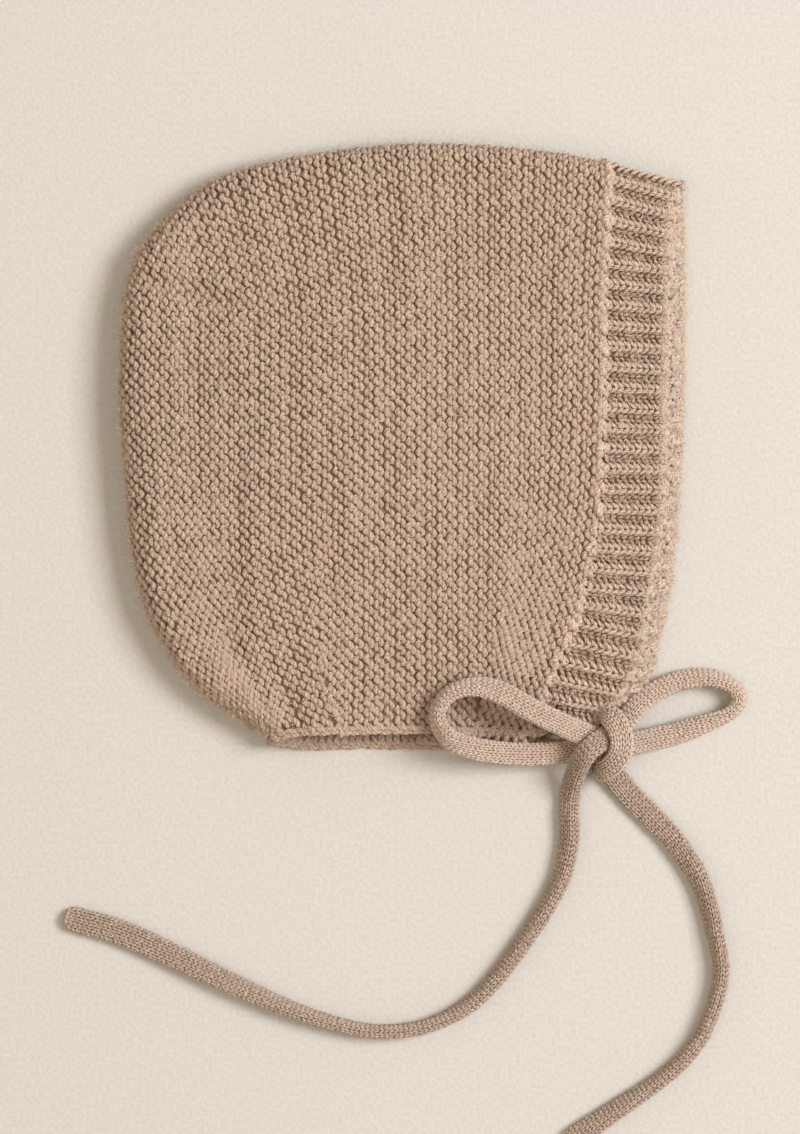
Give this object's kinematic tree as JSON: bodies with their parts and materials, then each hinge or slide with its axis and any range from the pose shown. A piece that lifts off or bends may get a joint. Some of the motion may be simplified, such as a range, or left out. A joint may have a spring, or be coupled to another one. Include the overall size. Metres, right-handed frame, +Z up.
{
  "type": "knitted baby bonnet",
  "caption": "Soft knitted baby bonnet in garter stitch with a ribbed face band and knitted tie cords in a bow, lying on its side.",
  "frame": {"origin": "centre of the bonnet's base as it lies folded on its side, without its tie cords", "axes": "+Z up from the surface, +Y from the neck opening to the crown, +X from the back of the head to the face opening"},
  "size_m": [0.191, 0.2827, 0.0234],
  "materials": {
    "garter_wool": "soft matt beige wool in garter stitch",
    "rib_wool": "soft matt beige wool in one by one rib",
    "edge_wool": "soft matt beige wool in a bound-off chain",
    "cord_wool": "soft matt beige wool in a narrow knitted cord"
  },
  "bodies": {
    "root": {"bonnet_body": "garter_wool", "face_band": "rib_wool", "neck_edge": "edge_wool", "bow_knot": "cord_wool", "bow_loop_left": "cord_wool", "bow_loop_right": "cord_wool", "tie_tail_left": "cord_wool", "tie_tail_right": "cord_wool"}
  },
  "joints": []
}
